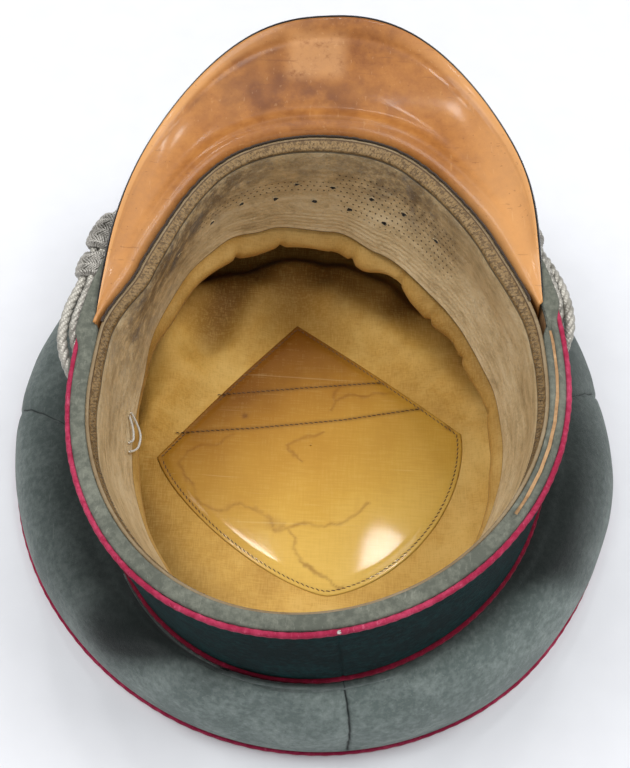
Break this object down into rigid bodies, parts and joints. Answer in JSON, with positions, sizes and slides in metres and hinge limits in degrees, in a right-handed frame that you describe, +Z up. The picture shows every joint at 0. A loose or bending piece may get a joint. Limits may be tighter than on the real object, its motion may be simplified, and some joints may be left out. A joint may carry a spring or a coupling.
{
  "type": "peaked cap",
  "caption": "Peaked cap lying upside down on its crown: piped wool crown and band, leather sweatband, lining, fibre peak, corded chin strap.",
  "frame": {"origin": "under the middle of the cap's outline, on the plane that its upside-down crown lies on", "axes": "+Z up out of the head opening, +Y toward the peak, +X to the right of a viewer who looks along +Y"},
  "size_m": [0.249, 0.2688, 0.1204],
  "materials": {
    "field_grey_wool": "matte felted wool",
    "dark_green_wool": "matte felted wool",
    "carmine_wool": "matte wool cord",
    "stiffener_board": "raw tan board",
    "sweatband_leather": "worn satin leather",
    "lining_cloth": "satin lining cloth",
    "shield_sheet": "glossy yellowed sheet",
    "peak_fibre": "varnished tan fibre, black lacquer on the other face",
    "silver_cord": "silver thread",
    "silver_button": "matte silver"
  },
  "bodies": {
    "root": {"crown_top": "field_grey_wool", "crown_front": "field_grey_wool", "crown_back_right": "field_grey_wool", "crown_back_left": "field_grey_wool", "crown_piping": "carmine_wool", "band_upper_piping": "carmine_wool", "rim_piping": "carmine_wool", "band": "dark_green_wool", "band_stiffener": "stiffener_board", "rim_strip": "field_grey_wool", "sweatband": "sweatband_leather", "lining_top": "lining_cloth", "lining_side": "lining_cloth", "sweat_shield": "shield_sheet", "peak": "peak_fibre", "chin_cord": "silver_cord", "slide_knot_left": "silver_cord", "keeper_knot_left": "silver_cord", "slide_knot_right": "silver_cord", "keeper_knot_right": "silver_cord", "side_button_left": "silver_button", "side_button_right": "silver_button"}
  },
  "joints": []
}
